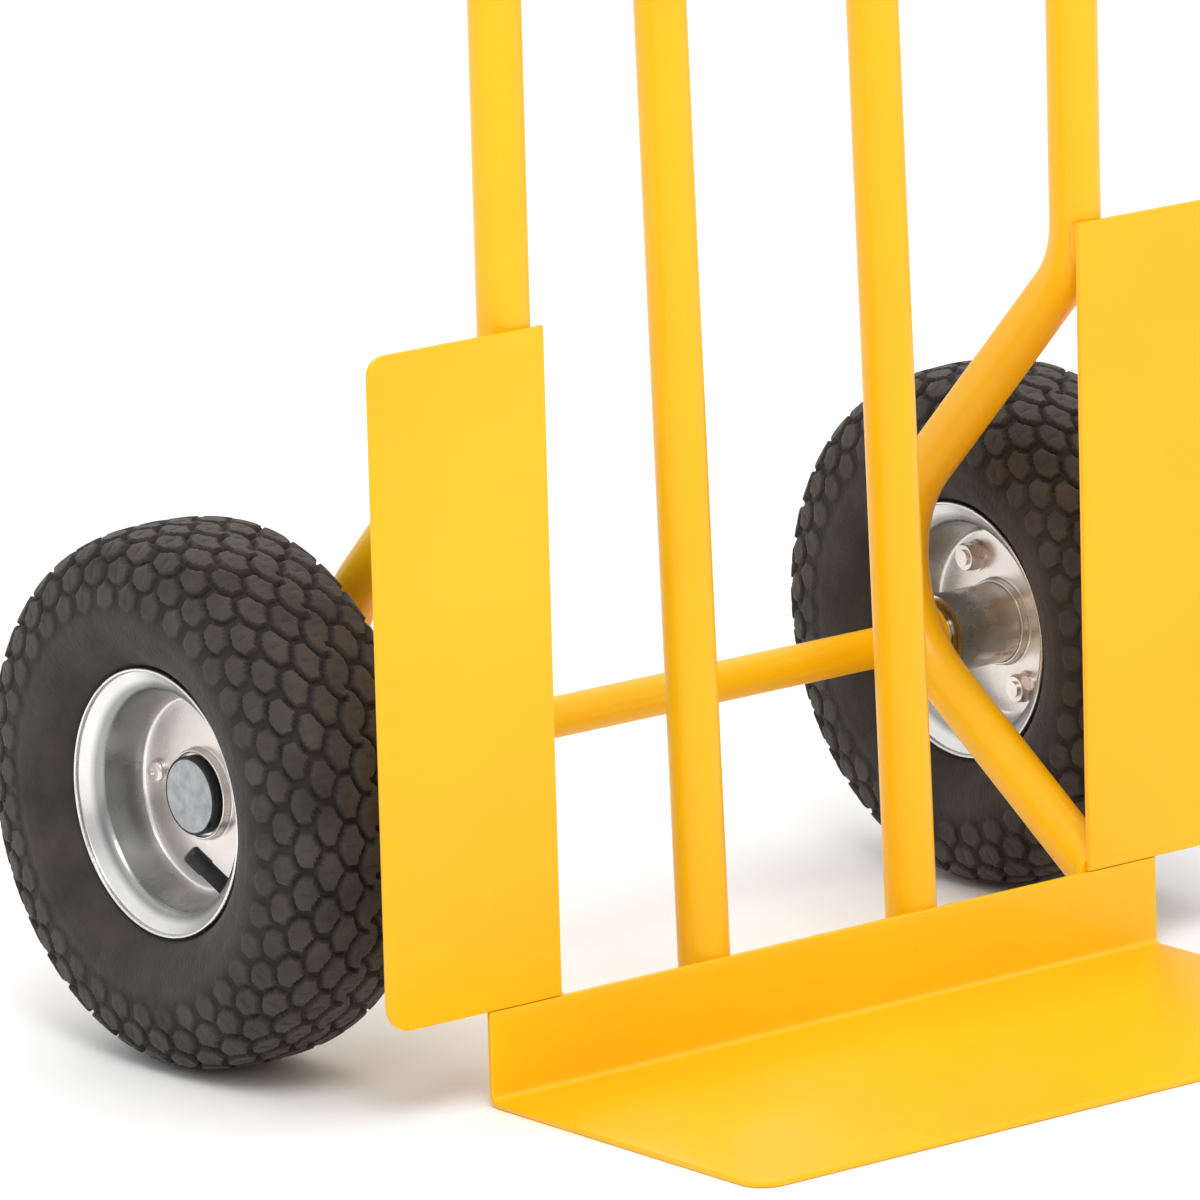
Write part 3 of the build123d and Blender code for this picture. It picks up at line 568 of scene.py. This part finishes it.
def smooth_line(points, step):
    """A Catmull-Rom curve through the points, sampled evenly by length.

    Between b and c, with a before and d after, it runs through
    (2b + (c - a) t + (2a - 5b + 4c - d) t^2 + (3b - a - 3c + d) t^3) / 2 for t from 0 to 1.
    """
    p = np.array(points, float)
    p = np.concatenate([[2 * p[0] - p[1]], p, [2 * p[-1] - p[-2]]])
    t = np.linspace(0, 1, 60, endpoint=False)[:, None]
    spans = []
    for a, b, c, d in zip(p[:-3], p[1:-2], p[2:-1], p[3:]):
        spans.append(0.5 * (2 * b + (c - a) * t + (2 * a - 5 * b + 4 * c - d) * t**2
                            + (3 * b - a - 3 * c + d) * t**3))
    fine = np.concatenate(spans + [p[-2:-1]])
    length = np.concatenate([[0], np.cumsum(np.linalg.norm(np.diff(fine, axis=0), axis=1))])
    even = np.linspace(0, length[-1], max(3, round(length[-1] / step) + 1))
    return np.stack([np.interp(even, length, fine[:, k]) for k in range(2)], axis=1)


def up_side(share):
    """Radius at a share of the way from the rim's edge to the crown: rim + share x sidewall."""
    return RIM_R + share * SIDEWALL


print("sidewall", round(SIDEWALL, 4), "halfway up it", round(up_side(0.5), 4))

# %% [markdown]
# The casing is a hollow ring. Its section starts at the crown, comes down the sidewall, turns in
# under the rim's flange at the bead, and goes back up on the inside. The points are half of the
# section, as (radius, distance from the tyre's middle), and the other half mirrors them.

# %% Section of the casing
OUTSIDE = [
    (TYRE_R, 0.0),
    (TYRE_R - 0.018 * SIDEWALL, 0.45 * HALF_TYRE),
    (TYRE_R - 0.085 * SIDEWALL, 0.77 * HALF_TYRE),
    (TYRE_R - 0.23 * SIDEWALL, 0.93 * HALF_TYRE),
    (up_side(0.5), HALF_TYRE),
    (up_side(0.3), 0.985 * HALF_TYRE),
    (up_side(0.16), 0.9 * HALF_TYRE),
    (up_side(0.07), RIM_HALF + 0.0025),
    (up_side(0.03), RIM_HALF - 0.0005),
]
BEAD = [
    (up_side(-0.012), RIM_HALF - 0.006),
    (up_side(-0.1), RIM_HALF - 0.012),
    (up_side(-0.13), RIM_HALF - 0.017),
    (up_side(0.05), RIM_HALF - 0.009),
    (up_side(0.22), 0.7 * HALF_TYRE),
    (up_side(0.5), HALF_TYRE - 0.007),
    (TYRE_R - 0.25 * SIDEWALL, 0.7 * HALF_TYRE),
]
outside = smooth_line(OUTSIDE, TREAD_STEP)
fine = round(TREAD_REACH / TREAD_STEP)
outside = np.concatenate([outside[:fine], outside[fine::2]])
half_section = np.concatenate([outside, np.array(BEAD)])
outer_count = len(outside)
inner_crown = np.array([[TYRE_R - 0.009, 0.0]])
mirror = half_section[1:][::-1] * (1, -1)
section = np.concatenate([half_section, inner_crown, mirror])
print("tyre section", len(section), "points, outer", outer_count)

# %% [markdown]
# The tread pattern works on two lengths: s along the circumference and v across the skin from the
# crown. Row k ends at a scalloped line v = (k + 1/2) w + a (1 - (2q - 1)^2) - a/2, where w is the
# row's width, a the scallop's depth, and q runs from 0 to 1 over each block of the row. The height
# is a soft step in the distance to the nearest groove, less a short slit across each block.

# %% Tread pattern
BLOCKS = 36
ROW_WIDTH = 0.0118
SCALLOP = 0.0052
GROOVE = 0.0018
GROOVE_DEPTH = 0.0031
BLOCK_EDGE = 0.0010
SHOULDER_GAP = 0.0004
ROWS = 6
SLIT_WIDTH = 0.0007
SLIT_REACH = 0.0028
SLIT_DEPTH = 0.2
PITCH = 2 * math.pi * TYRE_R / BLOCKS
print("block pitch", round(PITCH, 4), "row width", ROW_WIDTH)

# %% Lines and distances of the tread


def soft_step(x):
    """0 below 0, 1 above 1, and x^2 (3 - 2x) between."""
    x = np.clip(x, 0, 1)
    return x * x * (3 - 2 * x)


def row_edge(k, q):
    """The scalloped outer line of row k: (k + 1/2) w + a (1 - (2q - 1)^2) - a/2."""
    return (k + 0.5) * ROW_WIDTH + SCALLOP * (1 - (2 * q - 1) ** 2) - SCALLOP / 2


def square_to_edge(gap, q):
    """A gap across the tread, measured square to the scallop: gap / sqrt(1 + slope^2)."""
    slope = 4 * SCALLOP * (1 - 2 * q) / PITCH
    return gap / np.sqrt(1 + slope**2)


def tread_height(s, v):
    """Block height from 0 to 1 at circumference length s and distance v across from the crown.

    The height is the soft step of (d - groove / 2) / block edge, where d is the least distance to
    the row's outer line, its inner line and the two ends of the block. The slit takes away
    depth x exp(-(distance along / slit width)^2).
    """
    side = np.abs(v)
    shift = np.where(v < 0, 0.25, 0.0)
    shares, edges = [], []
    for k in range(ROWS):
        q = (s / PITCH + 0.5 * k + shift) % 1.0
        shares.append(q)
        edges.append(row_edge(k, q))
    row = sum((side > edge).astype(int) for edge in edges)
    distance = np.full(side.shape, 1.0)
    for k in range(ROWS):
        q = shares[k]
        to_end = np.minimum(q, 1 - q) * PITCH - SHOULDER_GAP * k
        near = np.minimum(square_to_edge(edges[k] - side, q), to_end)
        if k > 0:
            near = np.minimum(near, square_to_edge(side - edges[k - 1], shares[k - 1]))
        distance = np.where(row == k, near, distance)
    height = soft_step((distance - GROOVE / 2) / BLOCK_EDGE)
    for k in range(ROWS):
        middle = k * ROW_WIDTH + SCALLOP * 0.25
        along = np.abs(shares[k] - 0.5) * PITCH
        within = soft_step(1.6 - np.abs(side - middle) / SLIT_REACH)
        slit = np.exp(-((along / SLIT_WIDTH) ** 2)) * within
        height = height - SLIT_DEPTH * slit * (row == k)
    return np.where(row >= ROWS, 0.0, np.clip(height, 0, 1))


one_block = tread_height(np.linspace(0, PITCH, 200), np.full(200, ROW_WIDTH))
print("height along row 1 from", round(one_block.min(), 2), "to", round(one_block.max(), 2))

# %% [markdown]
# The sidewall has its own fine relief: two raised rings with a band of radial ribs between them,
# as the moulds of such tyres often cut. The tread's height fades out over the shoulder, so that the
# blocks run into the wall without a step.

# %% Relief of the sidewall, and the whole skin
SHOULDER_LIFT = 0.0010
FADE_OVER = 0.036
FADE_PAST = 0.003
RING_PLACES = (0.0725, 0.086)
RING_WIDTH = 0.0011
RING_HEIGHT = 0.0006
RIBS_AROUND = 180
RIB_MIDDLE = 0.0795
RIB_REACH = 0.005
RIB_HEIGHT = 0.00025


def sidewall_relief(width, theta):
    """Two rings, each h exp(-((v - place) / w)^2), and ribs (1 + cos(180 t)) / 2 between them."""
    distance = np.abs(width)
    rings = sum(np.exp(-(((distance - place) / RING_WIDTH) ** 2)) for place in RING_PLACES)
    ribs = 0.5 + 0.5 * np.cos(theta[None, :] * RIBS_AROUND)
    band = soft_step(1 - np.abs(distance - RIB_MIDDLE) / RIB_REACH)
    return RING_HEIGHT * rings + RIB_HEIGHT * ribs * band


def tyre_grid(side):
    """The casing's section carried round the axle, pushed in at the grooves.

    A point is axle + (r cos t, r sin t) with (r, a) from the section, moved along the section's
    outward normal by lift(v) x block height - sink(v).
    """
    steps = np.linalg.norm(np.diff(half_section[:outer_count], axis=0), axis=1)
    across = np.concatenate([[0], np.cumsum(steps)])
    v = np.full(len(section), np.nan)
    v[:outer_count] = across
    v[-(outer_count - 1):] = -across[1:][::-1]
    tangent = np.roll(section, -1, axis=0) - np.roll(section, 1, axis=0)
    normal = np.stack([tangent[:, 1], -tangent[:, 0]], axis=1)
    normal /= np.linalg.norm(normal, axis=1, keepdims=True)
    theta = np.linspace(0, 2 * math.pi, TYRE_AROUND, endpoint=False)
    s = theta[None, :] * TYRE_R
    outer = ~np.isnan(v)
    width = np.where(outer, v, 1.0)[:, None]
    block = np.where(outer[:, None], tread_height(s + 0 * width, width + 0 * s), 0.0)
    reach = (ROWS - 0.5) * ROW_WIDTH
    fade = soft_step((reach + FADE_PAST - np.abs(width)) / FADE_OVER)
    sink = GROOVE_DEPTH * fade
    lift = SHOULDER_LIFT + (GROOVE_DEPTH - SHOULDER_LIFT) * fade
    push = np.where(outer[:, None], lift * block - sink, 0.0)
    push = push + np.where(outer[:, None], sidewall_relief(width, theta), 0.0)
    radius = section[:, :1] + normal[:, :1] * push
    axial = section[:, 1:] + normal[:, 1:] * push
    grid = np.stack([
        side * (WHEEL_X + axial),
        AXLE_Y + radius * np.cos(theta),
        AXLE_Z + radius * np.sin(theta),
    ], axis=2)
    # The tone for the block attribute places the painted groove shade: 0 is near black in the grooves, 1
    # the dusty block top, at least 0.75 on the sidewall, and 0.2 on the casing's inside.
    wall = np.clip((np.abs(width) - reach) / 0.006, 0, 1)
    tone = np.maximum(block, 0.75 * wall + 0 * block)
    return grid, np.where(outer[:, None], tone, 0.2)


for side_name, side in (("left", -1), ("right", 1)):
    grid, tone = tyre_grid(side)
    surface(f"{side_name}_treaded_tyre", grid, "tyre_rubber", f"{side_name}_wheel",
            f"{side_name}_tyre", {"block": tone.ravel()})

# %% [markdown]
# ## Grips
# A grip is a soft sleeve dipped or pushed over the end of the handle. It is a turned shape: one
# profile, from the middle of the rounded end, forward over the finger rings, round the raised
# collar at the front and back down the bore. Rings every 8 mm keep a wet glove from slipping.

# %% Grips
GRIP_AROUND = 72
GRIP_STEP = 0.00175
GRIP_PLAY = 0.00005
FINGER_PITCH = 0.008
FINGER_DEPTH = 0.0011


def grip_profile(front, rear, outer, sleeve, bore):
    """(distance along the handle, radius) from the pole outside the end to the pole inside it.

    Over the fingers the radius is sleeve - depth x ((1 - cos(2 pi y / pitch)) / 2)^3.
    """
    arc = np.linspace(0, math.pi / 2, 9)
    round_r = 0.0032
    cap = np.stack([rear - round_r * (1 - np.cos(arc)), sleeve - round_r * (1 - np.sin(arc))], axis=1)
    along = np.linspace(rear - round_r, front + 0.0065, 300)[1:]
    ends = soft_step((rear - 0.010 - along) / 0.006) * soft_step((along - front - 0.010) / 0.005)
    rings = 0.5 - 0.5 * np.cos(2 * math.pi * (along - front) / FINGER_PITCH)
    body = np.stack([along, sleeve - FINGER_DEPTH * rings**3 * ends], axis=1)
    collar = [(front + 0.005, sleeve + 0.0004), (front + 0.0046, outer - 0.0003), (front + 0.004, outer),
              (front + 0.001, outer), (front + 0.0004, outer - 0.0003), (front, outer - 0.0009),
              (front, bore + 0.0006), (front + 0.0006, bore)]
    inside = [(rear - 0.0046, bore), (rear - 0.004, bore - 0.0006), (rear - 0.004, 0.004)]
    poles = np.array([[rear, 0.0]]), np.array([[rear - 0.004, 0.0]])
    return np.concatenate([poles[0], cap, body, np.array(collar), np.array(inside), poles[1]])


for side_name in ("left", "right"):
    low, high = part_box(f"{side_name}_handle_grip")
    centre_x = (low.x + high.x) / 2
    centre_z = (low.z + high.z) / 2
    outer_r = (high.z - low.z) / 2
    bore_r = (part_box("right_side_tube")[1].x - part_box("right_side_tube")[0].x) / 2 + GRIP_PLAY
    profile = grip_profile(low.y, high.y, outer_r, outer_r - GRIP_STEP, bore_r)
    turn = np.linspace(0, 2 * math.pi, GRIP_AROUND, endpoint=False)
    y, r = profile[:, :1], profile[:, 1:]
    grid = np.stack([centre_x + r * np.cos(turn), y + 0 * r * turn, centre_z + r * np.sin(turn)], axis=2)
    surface(f"{side_name}_ribbed_grip", grid, "black_grip", "root",
            f"{side_name}_handle_grip", ring=False)

# %% [markdown]
# ## Folded and flat sheet
# The toe plate is one sheet with a fold, and the guards are flat. Sheared and coated edges are
# never knife sharp: the powder rounds them to about half a millimetre. So the sheet is a closed
# shell with rounded edges: its outline is pulled in a little at each face and bulges between.

# %% Rounded sheet
EDGE_ROUND = 0.0006
EDGE_STEPS = 4


def rounded_shell(face_points, inward, thickness):
    """A closed sheet from a function of an inset distance.

    face_points(inset) gives the grid of one face with its border pulled in by that distance, and
    inward is the direction through the sheet, one vector for each point. The rows run from the
    front face round the edge to the rear face, and the border columns go round with them. At a
    turn t of the edge the inset is r (1 - sin t) and the depth r (1 - cos t).
    """
    turn = np.linspace(0, math.pi / 2, EDGE_STEPS + 1)
    front = [(EDGE_ROUND * (1 - math.sin(a)), EDGE_ROUND * (1 - math.cos(a))) for a in turn]
    rear = [(inset, thickness - depth) for inset, depth in front[::-1]]
    return [face_points(inset) + inward * depth for inset, depth in front + rear]


def shell_piece(name, layers, slot, body, replaced):
    """Front face, rear face and the borders of every layer between, joined into one skin."""
    rows, columns, _ = layers[0].shape
    loop = np.concatenate([
        np.arange(columns),
        np.arange(1, rows) * columns + columns - 1,
        (rows - 1) * columns + np.arange(columns - 2, -1, -1),
        np.arange(rows - 2, 0, -1) * columns,
    ])
    front, rear = layers[0].reshape(-1, 3), layers[-1].reshape(-1, 3)
    borders = [layer.reshape(-1, 3)[loop] for layer in layers[1:-1]]
    points = np.concatenate([front, rear, *borders])
    face = grid_faces(rows, columns, False, False)
    faces = [face, face[:, ::-1] + len(front)]
    starts = [loop] + [2 * len(front) + k * len(loop) + np.arange(len(loop)) for k in range(len(borders))]
    starts.append(loop + len(front))
    for low, high in zip(starts[:-1], starts[1:]):
        faces.append(np.stack([low, high, np.roll(high, -1), np.roll(low, -1)], axis=1))
    mesh = skin(name, points, np.concatenate(faces))
    mesh.shade_smooth()
    piece_from(mesh, slot, body, replaced)


print("sheet edges rounded to", EDGE_ROUND, "m")

# %% Sizes of the sheet
GUARD_LOW, GUARD_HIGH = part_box("right_guard_plate")
TOE_LOW, TOE_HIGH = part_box("toe_plate")
SHEET = GUARD_HIGH.y - GUARD_LOW.y
TOP_CORNER = 0.009
BOTTOM_CORNER = 0.013
TOE_CORNER = 0.014
FOLD_R = 0.003
print("sheet thickness", round(SHEET, 4))

# %% Round corners


def corner_inset(distance, radius):
    """How far an edge curves in at a distance x from the corner's tip: r - sqrt(r^2 - (r - x)^2)."""
    gap = np.clip(radius - distance, 0, radius)
    return radius - np.sqrt(np.maximum(radius**2 - gap**2, 0))


def corner_rows(length, first, second, count):
    """Row places along an edge, crowded where the corners at its two ends are round."""
    arc = np.linspace(0, math.pi / 2, 14)
    start = first * (1 - np.cos(arc))
    end = length - second * (1 - np.cos(arc))[::-1]
    middle = np.linspace(first, length - second, count)
    return np.unique(np.round(np.concatenate([start, middle, end]), 7))


print("corner starts", round(corner_inset(0.0, TOP_CORNER), 4), "in from the edge")

# %% [markdown]
# A guard keeps the load off the wheel. It is a flat plate whose outer corners are cut round, the
# lower one wider, and whose inner edge stays straight along the side tube. Both guards come from
# the right one's sizes, mirrored.

# %% Guards


def guard_layers(side):
    """The plate's layers: x runs from the inner edge to outer edge - corner inset, z upward."""
    height = GUARD_HIGH.z - GUARD_LOW.z
    width = GUARD_HIGH.x - GUARD_LOW.x
    rows = corner_rows(height, BOTTOM_CORNER, TOP_CORNER, 16)
    share = np.linspace(0, 1, 14)

    def face_points(inset):
        cut = corner_inset(rows, BOTTOM_CORNER) + corner_inset(height - rows, TOP_CORNER)
        z = GUARD_LOW.z + inset + rows * (1 - 2 * inset / height)
        x_in = np.full(len(rows), GUARD_LOW.x + inset)
        x_out = GUARD_LOW.x + width - cut - inset
        x = x_in[:, None] + (x_out - x_in)[:, None] * share
        return np.stack([side * x, np.full(x.shape, GUARD_LOW.y), z[:, None] + 0 * x], axis=2)

    inward = np.array([0.0, 1.0, 0.0])
    return rounded_shell(face_points, inward, SHEET)


for side_name, side in (("left", -1), ("right", 1)):
    shell_piece(f"{side_name}_guard", guard_layers(side), "yellow_paint", "root",
                f"{side_name}_guard_plate")

# %% [markdown]
# The toe plate is pressed from one sheet: a flange that stands up against the tubes, a tight fold,
# and the plate that slides under a load, with its two front corners cut round. The grid follows the
# sheet down the flange, round the fold and out, so that the fold is smooth.

# %% Toe plate


def toe_layers():
    """The face that carries the load: down the flange, round the fold and out to the lip.

    Round the fold, y = front - r (1 - cos t) and z = sheet + r (1 - sin t).
    """
    half = TOE_HIGH.x
    front = GUARD_LOW.y
    depth = front - TOE_LOW.y
    flange = TOE_HIGH.z
    down = np.linspace(flange, SHEET + FOLD_R, 8)
    fold = np.linspace(0, math.pi / 2, 9)[1:]
    out = corner_rows(depth - FOLD_R, 0.002, TOE_CORNER, 18)[1:]
    y = np.concatenate([np.full(8, front), front - FOLD_R * (1 - np.cos(fold)), front - FOLD_R - out])
    z = np.concatenate([down, SHEET + FOLD_R * (1 - np.sin(fold)), np.full(len(out), SHEET)])
    normal_y = np.concatenate([np.ones(8), np.cos(fold), np.zeros(len(out))])
    normal_z = -np.concatenate([np.zeros(8), np.sin(fold), np.ones(len(out))])
    inward = np.stack([0 * normal_y, normal_y, normal_z], axis=1)[:, None, :]
    share = np.linspace(-1, 1, 36)
    to_lip = np.maximum(y - TOE_LOW.y, 0)
    cut = np.where(z < SHEET + FOLD_R / 2, corner_inset(to_lip, TOE_CORNER), 0)

    def face_points(inset):
        x = (half - cut - inset)[:, None] * share
        past_fold = np.minimum(y - (front - FOLD_R), 0)
        above_fold = np.maximum(z - (SHEET + FOLD_R), 0)
        yy = y - past_fold * inset / (depth - FOLD_R)
        zz = z - above_fold * inset / (flange - SHEET - FOLD_R)
        return np.stack([x, yy[:, None] + 0 * x, zz[:, None] + 0 * x], axis=2)

    return rounded_shell(face_points, inward, SHEET)


shell_piece("folded_toe", toe_layers(), "yellow_paint", "root", "toe_plate")

# %% [markdown]
# ## Size, and the end
# The tread blocks stand a little proud of the smooth casing, so the finished truck's box is a
# little larger than the engineering one.
